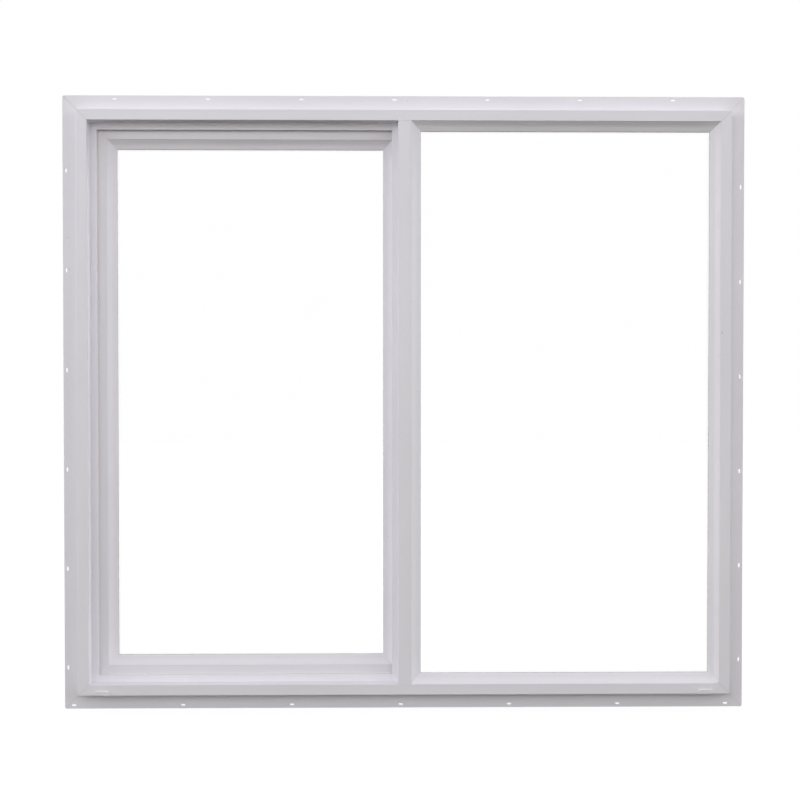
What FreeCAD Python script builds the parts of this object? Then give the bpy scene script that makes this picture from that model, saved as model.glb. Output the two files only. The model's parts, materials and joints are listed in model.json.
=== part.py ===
"""Horizontal sliding window: a white vinyl frame with a nailing fin, a fixed light and one sliding sash.

The frame is four mitred lengths of one hollow extrusion, welded at the corners. Seen from outdoors, the
right half is glazed straight into the frame's outer pocket and the left half is closed by a sash that runs
in the inner track, on rollers, and slides to the right behind the fixed light.

Units are millimetres. +X is to the right seen from outdoors, +Y goes indoors and +Z is up. The origin is
where the frame's underside meets the back of the fin, half way along the sill.
"""

import FreeCAD
import Part

import math
import os
from collections import namedtuple

from FreeCAD import Vector

Rect = namedtuple("Rect", "left right bottom top")
SlotRun = namedtuple("SlotRun", "first pitch")
PARTS = "parts"

# Overall frame, without its fin
FRAME_WIDTH = 1511.0
FRAME_HEIGHT = 1352.0

# Nailing fin and its slots. A run is counted from the left end of a side, or from its foot
FIN_WIDTH = 36.5
FIN_THICKNESS = 1.8
FIN_CORNER_ROUND = 5.0
SLOT_LENGTH = 10.0
SLOT_WIDTH = 4.0
SLOT_TO_FIN_EDGE = 8.0
SLOT_RUNS = {
    "head": SlotRun(first=84.0, pitch=216.0),
    "sill": SlotRun(first=-15.5, pitch=254.0),
    "left": SlotRun(first=60.0, pitch=231.0),
    "right": SlotRun(first=75.0, pitch=221.0),
}

# Walls round the chambers of the extrusions, and the groove left where a welded corner is cleaned
WALL = 2.0
WELD_GROOVE = 0.5

# Frame extrusion: widths run inwards from the frame's outer edge
FACE_PROUD_OF_FIN = 30.0
FACE_WIDTH = 25.0
POCKET_DEPTH = 33.0
PARTING_THICKNESS = 3.0
PARTING_REACH = 41.5
TRACK_FLOOR = 12.0
RAIL_WIDTH = 4.0
RAIL_HEIGHT = 8.0
INNER_LEG_THICKNESS = 4.0
INNER_LEG_REACH = 28.5
EDGE_ROUND = 1.0
TIP_ROUND = 0.8

# Sash extrusion: widths run inwards from the sash's outer edge
SASH_DEPTH = 32.0
SASH_FACE_WIDTH = 45.0
SASH_STOP_THICKNESS = 4.0
SASH_STOP_REACH = 62.0
SASH_STOP_CHAMFER = 3.0
SASH_GROOVE_WIDTH = 14.0
SASH_GROOVE_DEPTH = 18.0

# Room for the sash in its track
SASH_EDGE_GAP = 5.0
SASH_INNER_GAP = 5.0
INTERLOCK_ROOM = 9.0
SASH_PAST_MIDDLE = 17.0

# Glazing: two panes on a spacer, held by beads that snap into a groove
PANE_THICKNESS = 3.0
CAVITY = 6.5
SPACER_WIDTH = 8.0
SPACER_INSET = 1.5
GLASS_EDGE_GAP = 4.0
FIXED_BEAD_WIDTH = 21.5
SASH_BEAD_WIDTH = 21.0
BEAD_SEAT_GAP = 0.2
BEAD_FRONT_SETBACK = 1.0
BEAD_HOLLOW = 2.2
BEAD_HOLLOW_RADIUS = 24.0
BEAD_TIP_THICKNESS = 1.2
BEAD_GROOVE_SETBACK = 3.0
BEAD_GROOVE_WIDTH = 2.8
BEAD_GROOVE_DEPTH = 3.0
GASKET_THICKNESS = 1.2
GASKET_BITE = 4.0
GASKET_LIP = 0.8

# Fixed meeting stile and the interlock hooks
STILE_WIDTH = 30.0
STILE_FLANGE_REACH = 14.4
STILE_FLANGE_THICKNESS = 3.0
STILE_END_GAP = 0.2
HOOK_WALL = 1.6
HOOK_GAP = 2.0
HOOK_LENGTH = 11.0
FIXED_HOOK_LEFT_OF_MIDDLE = 12.0
SASH_HOOK_RIGHT_OF_MIDDLE = 5.0
HOOK_END_GAP = 3.0

# Pile weatherstrips on the sash, each just behind the edge of the leg that it brushes
PILE_WIDTH = 5.0
PILE_BEHIND_LEG_EDGE = 0.5
PILE_CLEARANCE = 0.4

# Rollers under the sash
ROLLER_FROM_SASH_END = 110.0
WHEEL_RADIUS = 6.4
WHEEL_FLANGE = 1.2
WHEEL_FLANGE_THICKNESS = 0.9
WHEEL_RAIL_GAP = 0.3
WHEEL_PIN_RADIUS = 1.5
WHEEL_BORE_CLEARANCE = 0.1
WHEEL_SIDE_GAP = 0.5
WHEEL_END_GAP = 1.5
HOUSING_END_BLOCK = 9.0
HOUSING_FIT_GAP = 0.3
HOUSING_ABOVE_RAIL = 1.5

# Latch on the pull stile's indoor face, and its keeper in the jamb
LATCH_HEIGHT = 600.0
LATCH_TO_SASH_EDGE = 42.0
LATCH_LENGTH = 130.0
LATCH_WIDTH = 26.0
LATCH_DEPTH = 9.0
LATCH_BEVEL = 2.5
LEVER_LENGTH = 44.0
LEVER_WIDTH = 13.0
LEVER_DEPTH = 7.0
LEVER_BEVEL = 2.0
KEEPER_LENGTH = 64.0
KEEPER_WIDTH = 12.0
KEEPER_THICKNESS = 1.5
KEEPER_HOLE_LENGTH = 24.0
KEEPER_HOLE_WIDTH = 6.0

# Weep covers on the sill's outdoor face
WEEP_FROM_FRAME_END = 56.0
WEEP_LENGTH = 32.0
WEEP_HEIGHT = 10.5
WEEP_DEPTH = 3.2
WEEP_ABOVE_SILL_FOOT = 0.6
WEEP_CORNER_ROUND = 3.0
WEEP_EDGE_BEVEL = 0.8
WEEP_PLUG_LENGTH = 22.0
WEEP_PLUG_HEIGHT = 4.0
WEEP_PLUG_DEPTH = 4.0
WEEP_PLUG_GAP = 0.2
WEEP_FLAP_LENGTH = 24.0
WEEP_FLAP_SLIT = 0.9
WEEP_FLAP_SLIT_DEPTH = 1.4

# Depth planes, from outdoors to indoors; the fin's back is at zero
FACE_Y = -FACE_PROUD_OF_FIN
PARTING_Y = FACE_Y + POCKET_DEPTH
TRACK_Y = PARTING_Y + PARTING_THICKNESS
SASH_Y = TRACK_Y + INTERLOCK_ROOM
SASH_BACK_Y = SASH_Y + SASH_DEPTH
INNER_LEG_Y = SASH_BACK_Y + SASH_INNER_GAP
ROOM_Y = INNER_LEG_Y + INNER_LEG_THICKNESS
RAIL_Y = SASH_Y + SASH_DEPTH / 2
GLAZING_UNIT = 2 * PANE_THICKNESS + CAVITY
FIXED_GLASS_Y = PARTING_Y - GLAZING_UNIT
SASH_GLASS_Y = SASH_BACK_Y - SASH_STOP_THICKNESS - GLAZING_UNIT

# Outlines of the mitred frames, seen from outdoors
FRAME = Rect(-FRAME_WIDTH / 2, FRAME_WIDTH / 2, 0.0, FRAME_HEIGHT)
RAIL_TOP = TRACK_FLOOR + RAIL_HEIGHT
WHEEL_Z = RAIL_TOP + WHEEL_RAIL_GAP + WHEEL_RADIUS
SASH_INSET = TRACK_FLOOR + SASH_EDGE_GAP
SASH = Rect(
    FRAME.left + SASH_INSET,
    SASH_PAST_MIDDLE,
    FRAME.bottom + SASH_INSET,
    FRAME.top - SASH_INSET,
)
FIXED_POCKET = Rect(
    STILE_WIDTH / 2,
    FRAME.right - FACE_WIDTH,
    FRAME.bottom + FACE_WIDTH,
    FRAME.top - FACE_WIDTH,
)

INWARD = {
    "head": Vector(0, 0, -1),
    "sill": Vector(0, 0, 1),
    "left": Vector(1, 0, 0),
    "right": Vector(-1, 0, 0),
}
INDOORS = Vector(0, 1, 0)


def inset(rect, by):
    """The rectangle with each side moved inwards."""
    return Rect(rect.left + by, rect.right - by, rect.bottom + by, rect.top - by)


def box(x0, x1, y0, y1, z0, z1):
    """A box between two opposite corners."""
    return Part.makeBox(x1 - x0, y1 - y0, z1 - z0, Vector(x0, y0, z0))


def loop(corners):
    """A closed wire in the XY plane through the corners. A third number rounds a corner by that radius."""
    arcs = []
    count = len(corners)
    for i, corner in enumerate(corners):
        here = Vector(corner[0], corner[1], 0)
        radius = corner[2] if len(corner) > 2 else 0.0
        if not radius:
            arcs.append((here, None, here))
            continue
        before = Vector(corners[i - 1][0], corners[i - 1][1], 0) - here
        after = Vector(corners[(i + 1) % count][0], corners[(i + 1) % count][1], 0) - here
        before.normalize()
        after.normalize()
        half_angle = before.getAngle(after) / 2
        run = radius / math.tan(half_angle)
        bisector = before + after
        bisector.normalize()
        middle = here + bisector * (radius / math.sin(half_angle) - radius)
        arcs.append((here + before * run, middle, here + after * run))
    edges = []
    for i, (start, middle, end) in enumerate(arcs):
        if middle is not None:
            edges.append(Part.Arc(start, middle, end).toShape())
        following = arcs[(i + 1) % count][0]
        edges.append(Part.LineSegment(end, following).toShape())
    return Part.Wire(edges)


def outline(corners, chambers=()):
    """A flat face inside the corners, with a hole for each chamber, given as (x0, x1, y0, y1)."""
    wires = [loop(corners)]
    for x0, x1, y0, y1 in chambers:
        wires.append(loop([(x0, y0), (x1, y0), (x1, y1), (x0, y1)]))
    return Part.Face(wires, "Part::FaceMakerBullseye")


def side_placement(rect, side):
    """Carries a section drawn as (inwards, indoors, along) to one side of a rectangle."""
    inwards = INWARD[side]
    along = inwards.cross(INDOORS)
    middle_x = (rect.left + rect.right) / 2
    middle_z = (rect.bottom + rect.top) / 2
    origin = {
        "head": Vector(middle_x, 0, rect.top),
        "sill": Vector(middle_x, 0, rect.bottom),
        "left": Vector(rect.left, 0, middle_z),
        "right": Vector(rect.right, 0, middle_z),
    }[side]
    return FreeCAD.Placement(
        FreeCAD.Matrix(
            inwards.x, INDOORS.x, along.x, origin.x,
            inwards.y, INDOORS.y, along.y, origin.y,
            inwards.z, INDOORS.z, along.z, origin.z,
            0, 0, 0, 1,
        )
    )


def side_length(rect, side):
    """Length of one side of a rectangle."""
    if side in ("head", "sill"):
        return rect.right - rect.left
    return rect.top - rect.bottom


def weld_grooves(half, start, end, y):
    """V-grooves along the mitres at both ends of a side, in the section's own axes."""
    grooves = []
    for way in (-1, 1):
        across = Vector(1, 0, way).normalize() * WELD_GROOVE
        deep = INDOORS * WELD_GROOVE
        along = Vector(1, 0, -way)
        foot = Vector(start, y, way * (half - start)) - along * WELD_GROOVE
        corners = [foot + across, foot + deep, foot - across, foot - deep]
        diamond = Part.Face(Part.makePolygon(corners + corners[:1]))
        grooves.append(diamond.extrude(along * (end - start + WELD_GROOVE)))
    return grooves


def mitred_side(rect, side, section, cuts=()):
    """One side of a picture frame: a section run along the side and mitred through the corners."""
    half = side_length(rect, side) / 2
    bounds = section.BoundBox
    longest = half - bounds.XMin
    shortest = half - bounds.XMax
    run = section.extrude(Vector(0, 0, 2 * longest))
    run.translate(Vector(0, 0, -longest))
    corners = [
        Vector(bounds.XMin, bounds.YMin, -longest),
        Vector(bounds.XMax, bounds.YMin, -shortest),
        Vector(bounds.XMax, bounds.YMin, shortest),
        Vector(bounds.XMin, bounds.YMin, longest),
    ]
    wedge = Part.Face(Part.makePolygon(corners + corners[:1])).extrude(Vector(0, bounds.YLength, 0))
    side_piece = run.common(wedge)
    for cut in cuts:
        side_piece = side_piece.cut(cut)
    side_piece.Placement = side_placement(rect, side)
    return side_piece


def ring(rect, width, y0, y1):
    """A flat closed frame of rectangular section, inside the rectangle."""
    inner = inset(rect, width)
    outside = box(rect.left, rect.right, y0, y1, rect.bottom, rect.top)
    return outside.cut(box(inner.left, inner.right, y0, y1, inner.bottom, inner.top))


def frame_section():
    """The frame extrusion: fin, face, glazing pocket, parting leg, track with its rail, inner leg."""
    groove_front = FACE_Y + BEAD_GROOVE_SETBACK
    groove_back = groove_front + BEAD_GROOVE_WIDTH
    under_track = TRACK_FLOOR - WALL
    chambers = [
        (WALL, FACE_WIDTH - BEAD_GROOVE_DEPTH - WALL, FACE_Y + WALL, groove_back),
        (WALL, FACE_WIDTH - WALL, groove_back + WALL, PARTING_Y),
        (WALL, under_track, PARTING_Y + WALL, RAIL_Y - WALL / 2),
        (WALL, under_track, RAIL_Y + WALL / 2, ROOM_Y - WALL),
    ]
    corners = [
        (0, FACE_Y, EDGE_ROUND),
        (FACE_WIDTH, FACE_Y, EDGE_ROUND),
        (FACE_WIDTH, groove_front),
        (FACE_WIDTH - BEAD_GROOVE_DEPTH, groove_front),
        (FACE_WIDTH - BEAD_GROOVE_DEPTH, groove_back),
        (FACE_WIDTH, groove_back),
        (FACE_WIDTH, PARTING_Y),
        (PARTING_REACH, PARTING_Y, TIP_ROUND),
        (PARTING_REACH, TRACK_Y, TIP_ROUND),
        (TRACK_FLOOR, TRACK_Y),
        (TRACK_FLOOR, RAIL_Y - RAIL_WIDTH / 2),
        (RAIL_TOP, RAIL_Y - RAIL_WIDTH / 2, EDGE_ROUND),
        (RAIL_TOP, RAIL_Y + RAIL_WIDTH / 2, EDGE_ROUND),
        (TRACK_FLOOR, RAIL_Y + RAIL_WIDTH / 2),
        (TRACK_FLOOR, INNER_LEG_Y),
        (INNER_LEG_REACH, INNER_LEG_Y, TIP_ROUND),
        (INNER_LEG_REACH, ROOM_Y, EDGE_ROUND),
        (0, ROOM_Y, EDGE_ROUND),
        (0, 0),
        (-FIN_WIDTH, 0),
        (-FIN_WIDTH, -FIN_THICKNESS),
        (0, -FIN_THICKNESS),
    ]
    return outline(corners, chambers)


def nail_slot(along):
    """A round-ended slot through the fin, in the frame section's own axes."""
    radius = SLOT_WIDTH / 2
    reach = SLOT_LENGTH / 2 - radius
    middle = -FIN_WIDTH + SLOT_TO_FIN_EDGE
    near, far = middle - radius, middle + radius
    low, high = along - reach, along + reach
    y = -FIN_THICKNESS
    edges = [
        Part.LineSegment(Vector(near, y, low), Vector(near, y, high)).toShape(),
        Part.Arc(Vector(near, y, high), Vector(middle, y, high + radius), Vector(far, y, high)).toShape(),
        Part.LineSegment(Vector(far, y, high), Vector(far, y, low)).toShape(),
        Part.Arc(Vector(far, y, low), Vector(middle, y, low - radius), Vector(near, y, low)).toShape(),
    ]
    return Part.Face(Part.Wire(edges)).extrude(Vector(0, FIN_THICKNESS, 0))


def slot_stations(side):
    """Where the slots of a side lie, from its left end or foot."""
    run = SLOT_RUNS[side]
    length = side_length(FRAME, side)
    count = 1 + int((length - run.first) // run.pitch)
    return [run.first + i * run.pitch for i in range(count)]


def frame_side(side):
    """A frame member with its weld grooves, the slots through its fin and the fin's corners rounded."""
    half = side_length(FRAME, side) / 2
    # The section runs to the right along the head and upwards along the left jamb, and back on the others.
    direction = 1 if side in ("head", "left") else -1
    cuts = [nail_slot(direction * (station - half)) for station in slot_stations(side)]
    cuts += weld_grooves(half, 0, FACE_WIDTH, FACE_Y)
    cuts += weld_grooves(half, -FIN_WIDTH, 0, -FIN_THICKNESS)
    return mitred_side(FRAME, side, frame_section(), cuts).common(fin_blank())


def fin_blank():
    """A round-cornered block as wide and high as the fin and as deep as the frame."""
    outer = inset(FRAME, -FIN_WIDTH)
    corners = [
        (outer.left, outer.bottom, FIN_CORNER_ROUND),
        (outer.right, outer.bottom, FIN_CORNER_ROUND),
        (outer.right, outer.top, FIN_CORNER_ROUND),
        (outer.left, outer.top, FIN_CORNER_ROUND),
    ]
    depth = ROOM_Y - FACE_Y
    blank = outline(corners).extrude(Vector(0, 0, depth))
    blank.rotate(Vector(0, 0, 0), Vector(1, 0, 0), 90)
    blank.translate(Vector(0, ROOM_Y, 0))
    return blank


def weep_middles():
    """Where the two weep covers lie along the sill."""
    return {
        "left": FRAME.left + WEEP_FROM_FRAME_END,
        "right": FRAME.right - WEEP_FROM_FRAME_END,
    }


def sill_with_weeps():
    """The sill, with a shallow mortice behind each weep cover for its plug."""
    sill = frame_side("sill")
    for x in weep_middles().values():
        sill = sill.cut(weep_plug(x, WEEP_PLUG_GAP))
    return sill


def weep_plug(x, grown_by=0.0):
    """The tongue behind a weep cover, or with a clearance the mortice that takes it."""
    half = WEEP_PLUG_LENGTH / 2 + grown_by
    middle_z = WEEP_ABOVE_SILL_FOOT + WEEP_HEIGHT / 2
    half_z = WEEP_PLUG_HEIGHT / 2 + grown_by
    back = FACE_Y + WEEP_PLUG_DEPTH + grown_by
    return box(x - half, x + half, FACE_Y, back, middle_z - half_z, middle_z + half_z)


def raised_edges(block, height):
    """The edges round the top of an upright block."""
    return [edge for edge in block.Edges if edge.BoundBox.ZMin > height / 2]


def weep_cover(x):
    """A small hood with a drain flap, plugged into the sill's face."""
    half = WEEP_LENGTH / 2
    hood = outline([
        (-half, 0),
        (half, 0),
        (half, WEEP_HEIGHT, WEEP_CORNER_ROUND),
        (-half, WEEP_HEIGHT, WEEP_CORNER_ROUND),
    ]).extrude(Vector(0, 0, WEEP_DEPTH))
    hood = hood.makeChamfer(WEEP_EDGE_BEVEL, raised_edges(hood, WEEP_DEPTH))
    slit_z = WEEP_HEIGHT / 2
    slit_foot = WEEP_DEPTH - WEEP_FLAP_SLIT_DEPTH
    slit = Part.makeBox(
        WEEP_FLAP_LENGTH,
        WEEP_FLAP_SLIT,
        WEEP_DEPTH,
        Vector(-WEEP_FLAP_LENGTH / 2, slit_z - WEEP_FLAP_SLIT / 2, slit_foot),
    )
    hood = hood.cut(slit)
    hood.rotate(Vector(0, 0, 0), Vector(1, 0, 0), 90)
    hood.translate(Vector(x, FACE_Y, WEEP_ABOVE_SILL_FOOT))
    return hood.fuse(weep_plug(x)).removeSplitter()


def bead_section(width, face_y, glass_y):
    """A glazing bead: a hollowed slope from the face to the glass, and a tongue for the snap groove."""
    foot = BEAD_SEAT_GAP
    tip_y = glass_y - GASKET_THICKNESS
    start = Vector(foot, face_y + BEAD_FRONT_SETBACK, 0)
    end = Vector(width, tip_y - BEAD_TIP_THICKNESS, 0)
    inwards = Vector(start.y - end.y, end.x - start.x, 0)
    inwards.normalize()
    hollow = (start + end) / 2 + inwards * BEAD_HOLLOW
    tongue_front = face_y + BEAD_GROOVE_SETBACK + BEAD_SEAT_GAP
    tongue_back = face_y + BEAD_GROOVE_SETBACK + BEAD_GROOVE_WIDTH - BEAD_SEAT_GAP
    tongue_end = BEAD_SEAT_GAP - BEAD_GROOVE_DEPTH
    return outline([
        (start.x, start.y),
        (hollow.x, hollow.y, BEAD_HOLLOW_RADIUS),
        (end.x, end.y, BEAD_TIP_THICKNESS / 2),
        (width, tip_y),
        (width - GASKET_BITE, tip_y),
        (width - GASKET_BITE, glass_y),
        (foot, glass_y),
        (foot, tongue_back),
        (tongue_end, tongue_back),
        (tongue_end, tongue_front),
        (foot, tongue_front),
    ])


def glazing(pocket, front_y, bead_width):
    """Panes, spacer and gasket that sit in a glazing pocket."""
    glass = inset(pocket, GLASS_EDGE_GAP)
    back_y = front_y + GLAZING_UNIT
    cavity_y = front_y + PANE_THICKNESS
    gasket = inset(pocket, bead_width - GASKET_BITE)
    return {
        "outer_pane": box(glass.left, glass.right, front_y, cavity_y, glass.bottom, glass.top),
        "inner_pane": box(glass.left, glass.right, cavity_y + CAVITY, back_y, glass.bottom, glass.top),
        "glass_spacer": ring(inset(glass, SPACER_INSET), SPACER_WIDTH, cavity_y, cavity_y + CAVITY),
        "glazing_gasket": ring(gasket, GASKET_BITE + GASKET_LIP, front_y - GASKET_THICKNESS, front_y),
    }


def fixed_meeting_stile():
    """The upright between the lights: a box in the outer pocket, with the fixed half of the interlock."""
    half = STILE_WIDTH / 2
    groove_front = FACE_Y + BEAD_GROOVE_SETBACK
    groove_back = groove_front + BEAD_GROOVE_WIDTH
    box_corners = [
        (-half, FACE_Y, EDGE_ROUND),
        (half, FACE_Y, EDGE_ROUND),
        (half, groove_front),
        (half - BEAD_GROOVE_DEPTH, groove_front),
        (half - BEAD_GROOVE_DEPTH, groove_back),
        (half, groove_back),
        (half, PARTING_Y),
        (-half - STILE_FLANGE_REACH, PARTING_Y),
        (-half - STILE_FLANGE_REACH, PARTING_Y - STILE_FLANGE_THICKNESS, TIP_ROUND),
        (-half, PARTING_Y - STILE_FLANGE_THICKNESS),
    ]
    chambers = [
        (WALL - half, half - BEAD_GROOVE_DEPTH - WALL, FACE_Y + WALL, groove_back),
        (WALL - half, half - WALL, groove_back + WALL, PARTING_Y - STILE_FLANGE_THICKNESS),
    ]
    hook_left = -FIXED_HOOK_LEFT_OF_MIDDLE
    hook_back = SASH_Y - HOOK_GAP
    stop_reach = half + PARTING_REACH - FACE_WIDTH
    back_section = outline([
        (-half, PARTING_Y),
        (stop_reach, PARTING_Y, TIP_ROUND),
        (stop_reach, TRACK_Y, TIP_ROUND),
        (hook_left + HOOK_WALL, TRACK_Y),
        (hook_left + HOOK_WALL, hook_back - HOOK_WALL),
        (hook_left + HOOK_LENGTH, hook_back - HOOK_WALL),
        (hook_left + HOOK_LENGTH, hook_back),
        (hook_left, hook_back, TIP_ROUND),
        (hook_left, TRACK_Y),
        (-half, TRACK_Y),
    ])
    # The box fills the pocket from sill to head; what lies behind it stops short of the parting legs.
    front = upright(outline(box_corners, chambers), FRAME.bottom + FACE_WIDTH, FRAME.top - FACE_WIDTH)
    end = PARTING_REACH + STILE_END_GAP
    back = upright(back_section, FRAME.bottom + end, FRAME.top - end)
    return front.fuse(back).removeSplitter()


def upright(section, bottom, top):
    """A section in plan, run upwards."""
    run = section.extrude(Vector(0, 0, top - bottom))
    run.translate(Vector(0, 0, bottom))
    return run


def sash_section():
    """The sash extrusion: outdoor face, glazing pocket, indoor stop and the hardware groove in its edge."""
    groove_front = SASH_Y + BEAD_GROOVE_SETBACK
    groove_back = groove_front + BEAD_GROOVE_WIDTH
    stop_y = SASH_BACK_Y - SASH_STOP_THICKNESS
    half_groove = SASH_GROOVE_WIDTH / 2
    past_groove = SASH_GROOVE_DEPTH + WALL
    chambers = [
        (past_groove, SASH_FACE_WIDTH - BEAD_GROOVE_DEPTH - WALL, SASH_Y + WALL, groove_back),
        (past_groove, SASH_FACE_WIDTH - WALL, groove_back + WALL, SASH_BACK_Y - WALL),
        (WALL, SASH_GROOVE_DEPTH, SASH_Y + WALL, RAIL_Y - half_groove - WALL),
        (WALL, SASH_GROOVE_DEPTH, RAIL_Y + half_groove + WALL, SASH_BACK_Y - WALL),
    ]
    corners = [
        (0, SASH_Y, EDGE_ROUND),
        (SASH_FACE_WIDTH, SASH_Y, EDGE_ROUND),
        (SASH_FACE_WIDTH, groove_front),
        (SASH_FACE_WIDTH - BEAD_GROOVE_DEPTH, groove_front),
        (SASH_FACE_WIDTH - BEAD_GROOVE_DEPTH, groove_back),
        (SASH_FACE_WIDTH, groove_back),
        (SASH_FACE_WIDTH, stop_y),
        (SASH_STOP_REACH, stop_y),
        (SASH_STOP_REACH, SASH_BACK_Y - SASH_STOP_CHAMFER),
        (SASH_STOP_REACH - SASH_STOP_CHAMFER, SASH_BACK_Y),
        (0, SASH_BACK_Y, EDGE_ROUND),
        (0, RAIL_Y + half_groove),
        (SASH_GROOVE_DEPTH, RAIL_Y + half_groove),
        (SASH_GROOVE_DEPTH, RAIL_Y - half_groove),
        (0, RAIL_Y - half_groove),
    ]
    return outline(corners, chambers)


def sash_side(side):
    """A sash member with its weld grooves, outdoors and indoors."""
    half = side_length(SASH, side) / 2
    cuts = weld_grooves(half, 0, SASH_FACE_WIDTH, SASH_Y)
    cuts += weld_grooves(half, 0, SASH_STOP_REACH - SASH_STOP_CHAMFER, SASH_BACK_Y)
    return mitred_side(SASH, side, sash_section(), cuts)


def sash_hook():
    """The sliding half of the interlock, on the meeting stile's outdoor face."""
    right = SASH_HOOK_RIGHT_OF_MIDDLE
    front = TRACK_Y + HOOK_GAP
    section = outline([
        (right, SASH_Y),
        (right, front, TIP_ROUND),
        (right - HOOK_LENGTH, front),
        (right - HOOK_LENGTH, front + HOOK_WALL),
        (right - HOOK_WALL, front + HOOK_WALL),
        (right - HOOK_WALL, SASH_Y),
    ])
    end = PARTING_REACH + HOOK_END_GAP
    return upright(section, FRAME.bottom + end, FRAME.top - end)


def pile(y0, y1, leg_reach):
    """Three strips of pile on one face of the sash: along the head, the sill and the pull stile."""
    far = leg_reach - PILE_BEHIND_LEG_EDGE - SASH_INSET
    near = far - PILE_WIDTH
    foot = box(SASH.left + near, SASH.right, y0, y1, SASH.bottom + near, SASH.bottom + far)
    head = box(SASH.left + near, SASH.right, y0, y1, SASH.top - far, SASH.top - near)
    bottom = SASH.bottom + far + PILE_CLEARANCE
    top = SASH.top - far - PILE_CLEARANCE
    side = box(SASH.left + near, SASH.left + far, y0, y1, bottom, top)
    return Part.makeCompound([head, foot, side])


def roller_wheel(x):
    """A flanged wheel on the rail, turned about an axis across the window."""
    half_tread = RAIL_WIDTH / 2 + WHEEL_RAIL_GAP
    half_width = half_tread + WHEEL_FLANGE_THICKNESS
    bore = WHEEL_PIN_RADIUS + WHEEL_BORE_CLEARANCE
    rim = WHEEL_RADIUS + WHEEL_FLANGE
    section = outline([
        (bore, -half_width),
        (rim, -half_width),
        (rim, -half_tread),
        (WHEEL_RADIUS, -half_tread),
        (WHEEL_RADIUS, half_tread),
        (rim, half_tread),
        (rim, half_width),
        (bore, half_width),
    ])
    turned = section.revolve(Vector(0, 0, 0), Vector(0, 1, 0), 360)
    turned.translate(Vector(x, RAIL_Y, WHEEL_Z))
    return turned


def roller_housing(x):
    """A block in the sash's groove with a slot for the wheel and the pin that it turns on."""
    rim = WHEEL_RADIUS + WHEEL_FLANGE
    slot_half = rim + WHEEL_END_GAP
    half_length = slot_half + HOUSING_END_BLOCK
    half_width = SASH_GROOVE_WIDTH / 2 - HOUSING_FIT_GAP
    slot_half_width = RAIL_WIDTH / 2 + WHEEL_RAIL_GAP + WHEEL_FLANGE_THICKNESS + WHEEL_SIDE_GAP
    bottom = RAIL_TOP + HOUSING_ABOVE_RAIL
    top = SASH.bottom + SASH_GROOVE_DEPTH
    block = box(x - half_length, x + half_length, RAIL_Y - half_width, RAIL_Y + half_width, bottom, top)
    slot = box(x - slot_half, x + slot_half, RAIL_Y - slot_half_width, RAIL_Y + slot_half_width, bottom, top)
    pin_foot = Vector(x, RAIL_Y - half_width, WHEEL_Z)
    pin = Part.makeCylinder(WHEEL_PIN_RADIUS, 2 * half_width, pin_foot, INDOORS)
    return block.cut(slot).fuse(pin).removeSplitter()


def rounded_bar(x, z, y, width, length, depth, bevel):
    """A round-cornered upright bar that stands on an indoor face, with its raised edge bevelled."""
    half = width / 2
    corner = half - bevel / 2
    bar = outline([
        (-half, -length / 2, corner),
        (half, -length / 2, corner),
        (half, length / 2, corner),
        (-half, length / 2, corner),
    ]).extrude(Vector(0, 0, depth))
    bar = bar.makeChamfer(bevel, raised_edges(bar, depth))
    bar.rotate(Vector(0, 0, 0), Vector(1, 0, 0), 90)
    bar.rotate(Vector(0, 0, 0), Vector(0, 0, 1), 180)
    bar.translate(Vector(x, y, z))
    return bar


def latch():
    """The latch's case and its thumb lever on the pull stile."""
    x = SASH.left + LATCH_TO_SASH_EDGE
    case = rounded_bar(x, LATCH_HEIGHT, SASH_BACK_Y, LATCH_WIDTH, LATCH_LENGTH, LATCH_DEPTH, LATCH_BEVEL)
    lever_y = SASH_BACK_Y + LATCH_DEPTH
    lever = rounded_bar(x, LATCH_HEIGHT, lever_y, LEVER_WIDTH, LEVER_LENGTH, LEVER_DEPTH, LEVER_BEVEL)
    return case, lever


def latch_keeper():
    """A strike plate on the floor of the left jamb's track, indoors of the rail."""
    floor = FRAME.left + TRACK_FLOOR
    middle_y = (RAIL_Y + RAIL_WIDTH / 2 + INNER_LEG_Y) / 2
    half_length = KEEPER_LENGTH / 2
    half_width = KEEPER_WIDTH / 2
    plate = box(
        floor,
        floor + KEEPER_THICKNESS,
        middle_y - half_width,
        middle_y + half_width,
        LATCH_HEIGHT - half_length,
        LATCH_HEIGHT + half_length,
    )
    hole = box(
        floor,
        floor + KEEPER_THICKNESS,
        middle_y - KEEPER_HOLE_WIDTH / 2,
        middle_y + KEEPER_HOLE_WIDTH / 2,
        LATCH_HEIGHT - KEEPER_HOLE_LENGTH / 2,
        LATCH_HEIGHT + KEEPER_HOLE_LENGTH / 2,
    )
    return plate.cut(hole)


def frame_nodes():
    """Everything that stays with the wall."""
    nodes = {
        "head_frame": frame_side("head"),
        "sill_frame": sill_with_weeps(),
        "left_jamb_frame": frame_side("left"),
        "right_jamb_frame": frame_side("right"),
        "fixed_meeting_stile": fixed_meeting_stile(),
        "latch_keeper": latch_keeper(),
    }
    bead = bead_section(FIXED_BEAD_WIDTH, FACE_Y, FIXED_GLASS_Y)
    bead_names = {
        "head": "fixed_head_bead",
        "sill": "fixed_sill_bead",
        "left": "fixed_stile_bead",
        "right": "fixed_jamb_bead",
    }
    for side, name in bead_names.items():
        nodes[name] = mitred_side(FIXED_POCKET, side, bead)
    for piece, shape in glazing(FIXED_POCKET, FIXED_GLASS_Y, FIXED_BEAD_WIDTH).items():
        nodes["fixed_" + piece] = shape
    for end, x in weep_middles().items():
        nodes[end + "_weep_cover"] = weep_cover(x)
    return nodes


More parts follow.
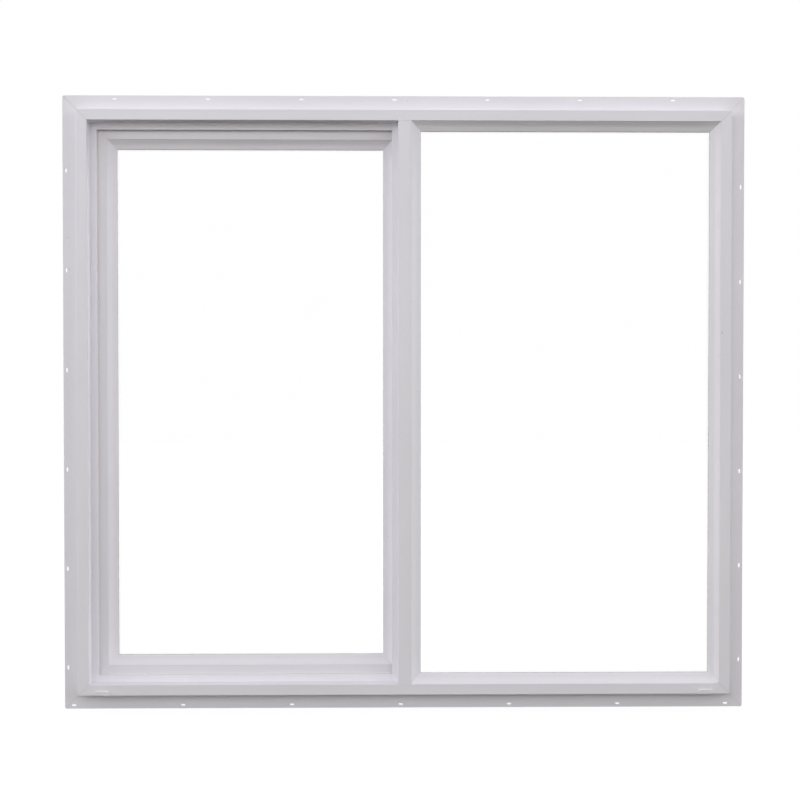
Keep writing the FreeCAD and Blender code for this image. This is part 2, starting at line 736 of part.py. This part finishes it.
def sash_nodes():
    """Everything that slides."""
    nodes = {
        "sash_top_rail": sash_side("head"),
        "sash_bottom_rail": sash_side("sill"),
        "sash_pull_stile": sash_side("left"),
        "sash_meeting_stile": sash_side("right").fuse(sash_hook()).removeSplitter(),
        "sash_outdoor_pile": pile(TRACK_Y + PILE_CLEARANCE, SASH_Y, PARTING_REACH),
        "sash_indoor_pile": pile(SASH_BACK_Y, INNER_LEG_Y - PILE_CLEARANCE, INNER_LEG_REACH),
    }
    pocket = inset(SASH, SASH_FACE_WIDTH)
    bead = bead_section(SASH_BEAD_WIDTH, SASH_Y, SASH_GLASS_Y)
    bead_names = {
        "head": "sash_top_bead",
        "sill": "sash_bottom_bead",
        "left": "sash_pull_bead",
        "right": "sash_meeting_bead",
    }
    for side, name in bead_names.items():
        nodes[name] = mitred_side(pocket, side, bead)
    for piece, shape in glazing(pocket, SASH_GLASS_Y, SASH_BEAD_WIDTH).items():
        nodes["sash_" + piece] = shape
    roller_middles = {
        "left": SASH.left + ROLLER_FROM_SASH_END,
        "right": SASH.right - ROLLER_FROM_SASH_END,
    }
    for end, x in roller_middles.items():
        nodes[end + "_roller_housing"] = roller_housing(x)
        nodes[end + "_roller_wheel"] = roller_wheel(x)
    nodes["latch_case"], nodes["latch_lever"] = latch()
    return nodes


def main():
    os.makedirs(PARTS, exist_ok=True)
    nodes = {**frame_nodes(), **sash_nodes()}
    for name, shape in nodes.items():
        shape.exportStep(os.path.join(PARTS, name + ".step"))
        solids = len(shape.Solids)
        print(f"{name}: {solids} solid(s), {shape.Volume / 1000:.1f} cm3, valid {shape.isValid()}")


main()
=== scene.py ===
"""Looks of the sliding window: materials, weatherstrip pile, screws, soft studio light and the camera.

Metres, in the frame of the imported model: +X to the right seen from outdoors, +Y indoors, +Z up.
Noise scales are per metre, and a pair of them is along a member and across it. Tones are shares of a colour,
from dark to light. A bump is its strength and its depth.
"""

import json
import math
import random

import bmesh
import bpy
from mathutils import Matrix, Vector


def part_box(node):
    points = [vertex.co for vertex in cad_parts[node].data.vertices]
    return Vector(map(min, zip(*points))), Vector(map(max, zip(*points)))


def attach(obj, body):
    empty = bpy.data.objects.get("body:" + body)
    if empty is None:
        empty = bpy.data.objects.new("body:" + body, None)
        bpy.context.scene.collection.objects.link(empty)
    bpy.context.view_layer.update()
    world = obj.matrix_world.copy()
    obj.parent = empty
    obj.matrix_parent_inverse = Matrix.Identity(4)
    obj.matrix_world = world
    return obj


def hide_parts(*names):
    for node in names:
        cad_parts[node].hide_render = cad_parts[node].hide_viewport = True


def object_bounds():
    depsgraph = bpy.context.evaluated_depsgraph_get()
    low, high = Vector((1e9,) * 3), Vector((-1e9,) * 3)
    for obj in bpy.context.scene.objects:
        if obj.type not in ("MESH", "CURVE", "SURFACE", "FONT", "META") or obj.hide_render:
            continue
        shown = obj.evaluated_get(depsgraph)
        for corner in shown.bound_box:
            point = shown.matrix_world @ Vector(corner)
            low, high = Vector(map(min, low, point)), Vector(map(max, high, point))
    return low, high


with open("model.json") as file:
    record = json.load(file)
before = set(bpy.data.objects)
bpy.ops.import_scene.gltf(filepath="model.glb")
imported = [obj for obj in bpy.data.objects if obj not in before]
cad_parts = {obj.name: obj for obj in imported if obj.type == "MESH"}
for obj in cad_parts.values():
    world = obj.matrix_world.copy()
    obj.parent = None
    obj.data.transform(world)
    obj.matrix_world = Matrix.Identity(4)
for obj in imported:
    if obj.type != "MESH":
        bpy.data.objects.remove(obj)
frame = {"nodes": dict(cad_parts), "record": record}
CAD_LOW, CAD_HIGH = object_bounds()

# Camera: where it stands and how it is turned
LENS_MM = 58.5
SENSOR_MM = 36.0
CAMERA_PLACE = Vector((-0.053, -3.031, 0.7386))
CAMERA_YAW = math.radians(0.80)
CAMERA_PITCH = math.radians(-1.045)

# Light: a soft dome with two brighter sides, and two large lamps, the front one to the left
DOME_STRENGTH = 0.80
SIDE_STRENGTH = 2.5
SIDE_REACH = (0.45, 0.85)
SIDE_TOP = (0.25, 0.65)
LAMP_SIZE = 2.6
LAMP_TARGET = Vector((0.0, 0.0, 0.75))
FRONT_LAMP_PLACE = Vector((-1.7, -4.8, 2.4))
FRONT_LAMP_WATTS = 37.6
BACK_LAMP_PLACE = Vector((1.2, 5.2, 2.6))
BACK_LAMP_WATTS = 50.0

# Floor: what bounces off it, and what is added for the eye so that it reads as white outside the shadow
FLOOR_HALF_SIZE = 12.0
FLOOR_COLOUR = (0.108, 0.097, 0.068)
FLOOR_GLOW = (0.922, 0.930, 0.952)

# Noise: how rough it is, and the span that most of its values lie in
NOISE_ROUGHNESS = 0.55
NOISE_LOW = 0.3
NOISE_HIGH = 0.7

# Vinyl of the frame, sash and beads
VINYL = (0.850, 0.829, 0.886)
VINYL_TONES = (0.975, 1.02)
VINYL_ROUGHNESS = (0.56, 0.66)
VINYL_SPECULAR = 0.30
VINYL_CLOUD_SCALES = (2.5, 9.0)
VINYL_STREAK_SCALES = (3.0, 900.0)
VINYL_GRAIN_SCALE = 700.0
VINYL_BUMP = (0.12, 0.0004)

# Specks of dirt on the vinyl: how strong they are, and the noise values at which they start and are full
SPECK = (0.36, 0.34, 0.32)
SPECK_SCALE = 160.0
SPECK_STRENGTH = 0.35
SPECK_SPAN = (0.76, 0.82)

# Dirt along the welds: how far it reaches from the mitre and in from the fin's edge, and how strong it is
SEAM = (0.42, 0.41, 0.42)
SEAM_REACH = 0.0014
SEAM_LENGTH = 0.062
SEAM_STRENGTH = 0.22

# Mouldings: the white ones and the rollers
MOULDED = (0.845, 0.83, 0.865)
MOULDED_ROUGHNESS = 0.42
NYLON = (0.050, 0.050, 0.055)
NYLON_ROUGHNESS = 0.5
MOULDING_TONES = (0.95, 1.03)
MOULDING_SMOOTHER = 0.06
MOULDING_ROUGHER = 0.08
MOULDING_CLOUD_SCALE = 40.0
MOULDING_SPARK_SCALE = 2400.0
MOULDING_BUMP = (0.18, 0.0003)

# Metal of the glass spacers, the keeper and the screws
SPACER = (0.86, 0.87, 0.87)
STEEL = (0.56, 0.56, 0.55)
METAL_TONES = (0.82, 1.08)
METAL_TONE_SPAN = (0.35, 0.65)
METAL_ROUGHNESS = (0.28, 0.46)
METAL_BRUSH_SCALES = (12.0, 2200.0)
METAL_PATCH_SCALE = 55.0
METAL_BUMP = (0.15, 0.0002)

# Glass
GLASS_TINT = (0.997, 1.000, 0.998)
GLASS_TONES = (0.998, 1.0)
GLASS_TONE_SPAN = (0.3, 0.6)
GLASS_ROUGHNESS = (0.0, 0.012)
GLASS_DUST_SCALE = 14.0
GLASS_IOR = 1.5

# Glazing gasket
GASKET = (0.45, 0.47, 0.47)
GASKET_TONES = (0.85, 1.35)
GASKET_TONE_SPAN = (0.3, 0.75)
GASKET_ROUGHNESS = (0.62, 0.85)
GASKET_DUST_SCALE = 90.0
GASKET_BUMP = (0.2, 0.0003)

# Weatherstrip pile
PILE = (0.89, 0.845, 0.815)
PILE_TONES = (0.86, 1.06)
PILE_TONE_SCALE = 420.0
PILE_ROUGHNESS = (0.75, 0.95)
PILE_SHEEN = 0.3
PILE_WIDTH = 0.005
PILE_BACKING = 0.0012
PILE_CORE_INSET = 0.0008
PILE_CORE_REACH = 0.8
PILE_PITCH = 0.0012
PILE_ROWS = 4
FIBRE_WIDTH = 0.0016
FIBRE_LEAN = 0.0006
FIBRE_SHORTEST = 0.86
FIBRE_TAPER = 0.5

# Screws on the latch and its keeper
SCREW_RADIUS = 0.0034
SCREW_HEIGHT = 0.0016
SCREW_ROUNDING = 2.6
SCREW_RINGS = 14
SCREW_TURNS = 56
SCREW_MERGE = SCREW_RADIUS / 1000
CROSS_WIDTH = 0.0008
CROSS_REACH = 0.0022
CROSS_DEPTH = 0.0009
LATCH_SCREW_OFFSET = 0.048
KEEPER_SCREW_OFFSET = 0.023

# Places of a mix node's sockets for colours
MIX_FACTOR = 0
MIX_UNDER = 6
MIX_OVER = 7
MIX_RESULT = 2

RUNS = {"x": Vector((1, 0, 0)), "z": Vector((0, 0, 1))}
LEVEL_MEMBERS = ("head", "sill", "top", "bottom")


def tree_of(name):
    """A new material and its node tree, with the tree's shader and output."""
    material = bpy.data.materials.new(name)
    material.use_nodes = True
    tree = material.node_tree
    return material, tree, tree.nodes["Principled BSDF"], tree.nodes["Material Output"]


def add(tree, kind, **inputs):
    """A new node with some of its inputs set by name."""
    made = tree.nodes.new(kind)
    for name, value in inputs.items():
        made.inputs[name.replace("_", " ")].default_value = value
    return made


def stretched_noise(tree, scales, detail=3.0):
    """Noise in the row frame with its own scale along each axis, as a 0 to 1 value."""
    coords = tree.nodes.new("ShaderNodeTexCoord")
    mapping = add(tree, "ShaderNodeMapping", Scale=scales)
    noise = add(tree, "ShaderNodeTexNoise", Scale=1.0, Detail=detail, Roughness=NOISE_ROUGHNESS)
    tree.links.new(coords.outputs["Object"], mapping.inputs["Vector"])
    tree.links.new(mapping.outputs["Vector"], noise.inputs["Vector"])
    return noise.outputs["Fac"]


def even_noise(tree, scale, detail=3.0):
    """Noise with the same scale along each axis."""
    return stretched_noise(tree, (scale, scale, scale), detail)


def run_noise(tree, along, scales, detail=3.0):
    """Noise with one scale along a member that runs along x or z, and another across it."""
    run = RUNS[along]
    across = Vector((1, 1, 1)) - run
    return stretched_noise(tree, tuple(run * scales[0] + across * scales[1]), detail)


def shade(colour, by):
    """A colour made lighter or darker."""
    return tuple(channel * by for channel in colour)


def toned(tree, value, colour, dark, light, start=NOISE_LOW, end=NOISE_HIGH):
    """A colour from its dark tone to its light one as a value goes from start to end."""
    made = tree.nodes.new("ShaderNodeValToRGB")
    first, last = made.color_ramp.elements
    first.position = start
    first.color = (*shade(colour, dark), 1.0)
    last.position = end
    last.color = (*shade(colour, light), 1.0)
    tree.links.new(value, made.inputs["Fac"])
    return made.outputs["Color"]


def spread(tree, value, low, high, start=NOISE_LOW, end=NOISE_HIGH):
    """A value carried from one span to another, with soft ends."""
    made = add(tree, "ShaderNodeMapRange", From_Min=start, From_Max=end, To_Min=low, To_Max=high)
    made.interpolation_type = "SMOOTHSTEP"
    tree.links.new(value, made.inputs["Value"])
    return made.outputs["Result"]


def calc(tree, operation, *values):
    """A sum on values, each of them a socket or a plain number."""
    made = tree.nodes.new("ShaderNodeMath")
    made.operation = operation
    for socket, value in zip(made.inputs, values):
        if isinstance(value, bpy.types.NodeSocket):
            tree.links.new(value, socket)
        else:
            socket.default_value = value
    return made.outputs[0]


def mixed(tree, factor, under, over):
    """A plain colour laid over another by a factor."""
    made = tree.nodes.new("ShaderNodeMix")
    made.data_type = "RGBA"
    tree.links.new(factor, made.inputs[MIX_FACTOR])
    tree.links.new(under, made.inputs[MIX_UNDER])
    made.inputs[MIX_OVER].default_value = (*over, 1.0)
    return made.outputs[MIX_RESULT]


def finished(tree, shader, colour, roughness):
    """Sets a shader's colour and roughness."""
    tree.links.new(colour, shader.inputs["Base Color"])
    tree.links.new(roughness, shader.inputs["Roughness"])


def bumped(tree, shader, height, strength, depth):
    """Sets a bump on the shader from a height."""
    bump = add(tree, "ShaderNodeBump", Strength=strength, Distance=depth)
    tree.links.new(height, bump.inputs["Height"])
    tree.links.new(bump.outputs["Normal"], shader.inputs["Normal"])


def either(tree, factor, first, second, output):
    """Shows the first shader where the factor is 0 and the second where it is 1."""
    mix = tree.nodes.new("ShaderNodeMixShader")
    tree.links.new(factor, mix.inputs[0])
    tree.links.new(first.outputs[0], mix.inputs[1])
    tree.links.new(second.outputs[0], mix.inputs[2])
    tree.links.new(mix.outputs[0], output.inputs["Surface"])


def weld_seams(tree):
    """How strongly dirt shows along the mitres that run in from the fin's corners, as a 0 to 1 value."""
    coords = tree.nodes.new("ShaderNodeTexCoord")
    split = tree.nodes.new("ShaderNodeSeparateXYZ")
    tree.links.new(coords.outputs["Object"], split.inputs[0])
    aside = calc(tree, "ABSOLUTE", split.outputs["X"])
    offsets = []
    for operation, at_corner in (("SUBTRACT", CAD_HIGH.x - CAD_HIGH.z), ("ADD", CAD_HIGH.x + CAD_LOW.z)):
        along_mitre = calc(tree, operation, aside, split.outputs["Z"])
        offset = calc(tree, "SUBTRACT", along_mitre, at_corner)
        offsets.append(calc(tree, "ABSOLUTE", offset))
    nearest = calc(tree, "MINIMUM", *offsets)
    strength = spread(tree, nearest, SEAM_STRENGTH, 0.0, start=0.0, end=SEAM_REACH * math.sqrt(2))
    in_corner = calc(tree, "GREATER_THAN", aside, CAD_HIGH.x - SEAM_LENGTH)
    return calc(tree, "MULTIPLY", strength, in_corner)


def vinyl(name, along):
    """White extrusion: fine streaks along its length, faint cloudiness, specks and dirt in the welds."""
    material, tree, shader, _ = tree_of(name)
    cloud = run_noise(tree, along, VINYL_CLOUD_SCALES, detail=4.0)
    streak = run_noise(tree, along, VINYL_STREAK_SCALES, detail=2.0)
    grain = even_noise(tree, VINYL_GRAIN_SCALE, detail=2.0)
    speck = even_noise(tree, SPECK_SCALE, detail=1.0)
    specks = spread(tree, speck, 0.0, SPECK_STRENGTH, *SPECK_SPAN)
    clean = toned(tree, cloud, VINYL, *VINYL_TONES)
    specked = mixed(tree, specks, clean, SPECK)
    colour = mixed(tree, weld_seams(tree), specked, SEAM)
    finished(tree, shader, colour, spread(tree, cloud, *VINYL_ROUGHNESS))
    bumped(tree, shader, calc(tree, "ADD", streak, grain), *VINYL_BUMP)
    shader.inputs["Specular IOR Level"].default_value = VINYL_SPECULAR
    return material


def moulded(name, colour, roughness):
    """A plain moulding: fine spark texture and a little unevenness of tone."""
    material, tree, shader, _ = tree_of(name)
    cloud = even_noise(tree, MOULDING_CLOUD_SCALE)
    spark = even_noise(tree, MOULDING_SPARK_SCALE, detail=2.0)
    uneven = spread(tree, spark, roughness - MOULDING_SMOOTHER, roughness + MOULDING_ROUGHER)
    finished(tree, shader, toned(tree, cloud, colour, *MOULDING_TONES), uneven)
    bumped(tree, shader, spark, *MOULDING_BUMP)
    return material


def metal(name, colour, along):
    """Rolled strip: brushed along its length, with tarnish in patches."""
    material, tree, shader, _ = tree_of(name)
    brush = run_noise(tree, along, METAL_BRUSH_SCALES, detail=2.0)
    patch = even_noise(tree, METAL_PATCH_SCALE, detail=4.0)
    tarnished = toned(tree, patch, colour, *METAL_TONES, *METAL_TONE_SPAN)
    finished(tree, shader, tarnished, spread(tree, brush, *METAL_ROUGHNESS))
    bumped(tree, shader, brush, *METAL_BUMP)
    shader.inputs["Metallic"].default_value = 1.0
    return material


def glass(name):
    """Clear float glass. Shadows and bounced light pass through it, which a refracting pane would stop."""
    material, tree, shader, output = tree_of(name)
    dust = even_noise(tree, GLASS_DUST_SCALE, detail=5.0)
    dusty = toned(tree, dust, GLASS_TINT, *GLASS_TONES, *GLASS_TONE_SPAN)
    finished(tree, shader, dusty, spread(tree, dust, *GLASS_ROUGHNESS))
    shader.inputs["Transmission Weight"].default_value = 1.0
    shader.inputs["IOR"].default_value = GLASS_IOR
    path = tree.nodes.new("ShaderNodeLightPath")
    through = calc(tree, "MAXIMUM", path.outputs["Is Shadow Ray"], path.outputs["Is Diffuse Ray"])
    clear = tree.nodes.new("ShaderNodeBsdfTransparent")
    either(tree, through, shader, clear, output)
    return material


def rubber(name):
    """Glazing seal: dull, with dust."""
    material, tree, shader, _ = tree_of(name)
    dust = even_noise(tree, GASKET_DUST_SCALE, detail=5.0)
    dusty = toned(tree, dust, GASKET, *GASKET_TONES, *GASKET_TONE_SPAN)
    finished(tree, shader, dusty, spread(tree, dust, *GASKET_ROUGHNESS))
    bumped(tree, shader, dust, *GASKET_BUMP)
    return material


def fibre(name):
    """Pile: pale fibres of slightly different tones."""
    material, tree, shader, _ = tree_of(name)
    tone = even_noise(tree, PILE_TONE_SCALE, detail=2.0)
    finished(tree, shader, toned(tree, tone, PILE, *PILE_TONES), spread(tree, tone, *PILE_ROUGHNESS))
    shader.inputs["Sheen Weight"].default_value = PILE_SHEEN
    return material


MATERIALS = {
    "vinyl_along_x": vinyl("vinyl_along_x", "x"),
    "vinyl_along_z": vinyl("vinyl_along_z", "z"),
    "moulded_plastic": moulded("moulded_plastic", MOULDED, MOULDED_ROUGHNESS),
    "roller_plastic": moulded("roller_plastic", NYLON, NYLON_ROUGHNESS),
    "glass": glass("glass"),
    "spacer": metal("spacer", SPACER, "x"),
    "steel": metal("steel", STEEL, "z"),
    "gasket": rubber("gasket"),
    "pile": fibre("pile"),
}


def material_for(node, slot):
    """The material of a CAD node: vinyl follows the direction of the member."""
    if slot != "vinyl":
        return MATERIALS[slot]
    level = any(word in node for word in LEVEL_MEMBERS)
    return MATERIALS["vinyl_along_x" if level else "vinyl_along_z"]


def dress(piece, material):
    """Gives a piece one material."""
    piece.data.materials.clear()
    piece.data.materials.append(material)


def mesh_from(builder, name):
    """A mesh made of what a builder holds. The builder is used up."""
    mesh = bpy.data.meshes.new(name)
    builder.to_mesh(mesh)
    builder.free()
    return mesh


def add_piece(name, mesh, material, replaced=()):
    """Links a mesh as a piece of the window."""
    piece = bpy.data.objects.new(name, mesh)
    bpy.context.scene.collection.objects.link(piece)
    dress(piece, material)
    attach(piece, "root")
    if replaced:
        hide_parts(*replaced)


def bar(builder, low, high, y0, y1):
    """A square-edged bar. Low and high are its ends in (x, z)."""
    corners = [
        builder.verts.new((x, y, z))
        for y in sorted((y0, y1))
        for x, z in ((low[0], low[1]), (high[0], low[1]), (high[0], high[1]), (low[0], high[1]))
    ]
    for quad in ((0, 1, 2, 3), (7, 6, 5, 4), (0, 4, 5, 1), (1, 5, 6, 2), (2, 6, 7, 3), (3, 7, 4, 0)):
        builder.faces.new([corners[i] for i in quad])


def pile_strip(builder, low, high, back_y, tip_y, along, chance):
    """One strip of pile: a backing tape, a dense core and rows of leaning fibres.

    Low and high are the strip's ends in (x, z), as for a bar.
    """
    out = math.copysign(1.0, tip_y - back_y)
    tape_y = back_y + out * PILE_BACKING
    core_y = tape_y + (tip_y - tape_y) * PILE_CORE_REACH
    bar(builder, low, high, back_y, tape_y)
    core_low = [value + PILE_CORE_INSET for value in low]
    core_high = [value - PILE_CORE_INSET for value in high]
    bar(builder, core_low, core_high, tape_y, core_y)
    run = 0 if along == "x" else 1
    cross = 1 - run
    length = high[run] - low[run]
    width = high[cross] - low[cross]
    count = int(length / PILE_PITCH)
    for row in range(PILE_ROWS):
        for i in range(count):
            middle = [0.0, 0.0]
            middle[run] = low[run] + (i + 0.5) * length / count
            middle[cross] = low[cross] + width * (row + 0.5) / PILE_ROWS
            turn = chance.uniform(0.0, math.pi)
            half = Vector((math.cos(turn), math.sin(turn))) * FIBRE_WIDTH / 2
            lean = Vector((chance.uniform(-1, 1), chance.uniform(-1, 1))) * FIBRE_LEAN
            reach = tape_y + (tip_y - tape_y) * chance.uniform(FIBRE_SHORTEST, 1.0)
            foot = Vector(middle)
            top = foot + lean
            tip = half * FIBRE_TAPER
            points = [
                (foot.x - half.x, tape_y, foot.y - half.y),
                (foot.x + half.x, tape_y, foot.y + half.y),
                (top.x + tip.x, reach, top.y + tip.y),
                (top.x - tip.x, reach, top.y - tip.y),
            ]
            builder.faces.new([builder.verts.new(point) for point in points])


def pile(node, outdoors, seed):
    """The three strips of pile on one face of the sash, in place of the plain CAD strips."""
    low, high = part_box(node)
    back_y, tip_y = (high.y, low.y) if outdoors else (low.y, high.y)
    near, far = low.x, low.x + PILE_WIDTH
    foot, head = low.z + PILE_WIDTH, high.z - PILE_WIDTH
    chance = random.Random(seed)
    builder = bmesh.new()
    pile_strip(builder, (near, low.z), (high.x, foot), back_y, tip_y, "x", chance)
    pile_strip(builder, (near, head), (high.x, high.z), back_y, tip_y, "x", chance)
    pile_strip(builder, (near, foot), (far, head), back_y, tip_y, "z", chance)
    mesh = mesh_from(builder, node + "_fibres")
    add_piece(node + "_fibres", mesh, MATERIALS["pile"], [node])


def screw_mesh(name):
    """A pan head with a cross recess, standing on its base plane and facing +Z."""
    builder = bmesh.new()
    grid = []
    for i in range(SCREW_RINGS + 1):
        share = i / SCREW_RINGS
        radius = SCREW_RADIUS * share
        dome = SCREW_HEIGHT * math.sqrt(max(0.0, 1.0 - share ** SCREW_ROUNDING))
        row = []
        for j in range(SCREW_TURNS):
            angle = 2 * math.pi * j / SCREW_TURNS
            x = radius * math.cos(angle)
            y = radius * math.sin(angle)
            in_cross = min(abs(x), abs(y)) < CROSS_WIDTH / 2 and max(abs(x), abs(y)) < CROSS_REACH
            z = dome - CROSS_DEPTH if in_cross else dome
            row.append(builder.verts.new((x, y, z)))
        grid.append(row)
    for inner, outer in zip(grid, grid[1:]):
        for j in range(SCREW_TURNS):
            k = (j + 1) % SCREW_TURNS
            builder.faces.new((inner[j], outer[j], outer[k], inner[k]))
    builder.faces.new(grid[-1][::-1])
    bmesh.ops.remove_doubles(builder, verts=grid[0], dist=SCREW_MERGE)
    return mesh_from(builder, name)


def screw(name, place, facing):
    """A screw head on a face."""
    mesh = screw_mesh(name)
    turn = facing.to_track_quat("Z", "Y").to_matrix().to_4x4()
    mesh.transform(Matrix.Translation(place) @ turn)
    add_piece(name, mesh, MATERIALS["steel"])


def latch_screws():
    """Two screws in the latch's case and two in its keeper."""
    low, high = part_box("latch_case")
    middle = (low + high) / 2
    for word, way in (("lower", -1), ("upper", 1)):
        place = Vector((middle.x, high.y, middle.z + way * LATCH_SCREW_OFFSET))
        screw(f"latch_{word}_screw", place, Vector((0, 1, 0)))
    low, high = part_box("latch_keeper")
    middle = (low + high) / 2
    for word, way in (("lower", -1), ("upper", 1)):
        place = Vector((high.x, middle.y, middle.z + way * KEEPER_SCREW_OFFSET))
        screw(f"keeper_{word}_screw", place, Vector((1, 0, 0)))


def seen_directly(tree):
    """1 for rays from the eye, also by way of a mirror or a pane, and 0 for light that bounces."""
    rays = tree.nodes.new("ShaderNodeLightPath").outputs
    by_mirror_or_pane = calc(tree, "MAXIMUM", rays["Is Glossy Ray"], rays["Is Transmission Ray"])
    return calc(tree, "MAXIMUM", rays["Is Camera Ray"], by_mirror_or_pane)


def make_world():
    """A soft dome for the light, and plain white to the eye."""
    world = bpy.data.worlds.new("studio")
    bpy.context.scene.world = world
    world.use_nodes = True
    tree = world.node_tree
    tree.nodes.clear()
    coords = tree.nodes.new("ShaderNodeTexCoord")
    split = tree.nodes.new("ShaderNodeSeparateXYZ")
    tree.links.new(coords.outputs["Generated"], split.inputs[0])
    aside = calc(tree, "ABSOLUTE", split.outputs["X"])
    side = spread(tree, aside, 0.0, SIDE_STRENGTH, *SIDE_REACH)
    below = spread(tree, split.outputs["Z"], 1.0, 0.0, *SIDE_TOP)
    strength = calc(tree, "ADD", calc(tree, "MULTIPLY", side, below), DOME_STRENGTH)
    dome = tree.nodes.new("ShaderNodeBackground")
    tree.links.new(strength, dome.inputs["Strength"])
    white = add(tree, "ShaderNodeBackground", Color=(1, 1, 1, 1), Strength=1.0)
    output = tree.nodes.new("ShaderNodeOutputWorld")
    either(tree, seen_directly(tree), dome, white, output)


def make_lamp(name, place, watts):
    """A large soft lamp that faces the window. Its own image doesn't show in the panes."""
    data = bpy.data.lights.new(name, "AREA")
    data.shape = "DISK"
    data.size = LAMP_SIZE
    data.energy = watts
    lamp = bpy.data.objects.new(name, data)
    lamp.location = place
    lamp.rotation_mode = "QUATERNION"
    lamp.rotation_quaternion = (LAMP_TARGET - place).to_track_quat("-Z", "Y")
    lamp.visible_glossy = False
    lamp.visible_transmission = False
    bpy.context.scene.collection.objects.link(lamp)


def floor_material():
    """White to the eye outside the shadow, while little light bounces off it."""
    material, tree, shader, output = tree_of("floor")
    shader.inputs["Base Color"].default_value = (*FLOOR_COLOUR, 1.0)
    shader.inputs["Roughness"].default_value = 1.0
    shader.inputs["Specular IOR Level"].default_value = 0.0
    glow = add(tree, "ShaderNodeEmission", Color=(*FLOOR_GLOW, 1.0))
    tree.links.new(seen_directly(tree), glow.inputs["Strength"])
    total = tree.nodes.new("ShaderNodeAddShader")
    tree.links.new(shader.outputs[0], total.inputs[0])
    tree.links.new(glow.outputs[0], total.inputs[1])
    tree.links.new(total.outputs[0], output.inputs["Surface"])
    return material


def make_floor():
    """A plain square floor at the foot of the window."""
    s = FLOOR_HALF_SIZE
    builder = bmesh.new()
    corners = [builder.verts.new((x, y, CAD_LOW.z)) for x, y in ((-s, -s), (s, -s), (s, s), (-s, s))]
    builder.faces.new(corners)
    floor = bpy.data.objects.new("floor", mesh_from(builder, "floor"))
    bpy.context.scene.collection.objects.link(floor)
    dress(floor, floor_material())


def make_camera():
    """The camera at the photograph's viewing angle."""
    data = bpy.data.cameras.new("camera")
    data.lens = LENS_MM
    data.sensor_width = SENSOR_MM
    camera = bpy.data.objects.new("camera", data)
    forward = Vector((
        math.sin(CAMERA_YAW) * math.cos(CAMERA_PITCH),
        math.cos(CAMERA_YAW) * math.cos(CAMERA_PITCH),
        math.sin(CAMERA_PITCH),
    ))
    camera.location = CAMERA_PLACE
    camera.rotation_mode = "QUATERNION"
    camera.rotation_quaternion = forward.to_track_quat("-Z", "Y")
    bpy.context.scene.collection.objects.link(camera)
    bpy.context.scene.camera = camera


for subpart in frame["record"]["subparts"]:
    node = subpart["node"]
    dress(frame["nodes"][node], material_for(node, subpart["material_slot"]))
pile("sash_outdoor_pile", outdoors=True, seed=11)
pile("sash_indoor_pile", outdoors=False, seed=12)
latch_screws()

bpy.context.scene.view_settings.view_transform = "Standard"
make_world()
make_lamp("front_lamp", FRONT_LAMP_PLACE, FRONT_LAMP_WATTS)
make_lamp("back_lamp", BACK_LAMP_PLACE, BACK_LAMP_WATTS)
make_floor()
make_camera()
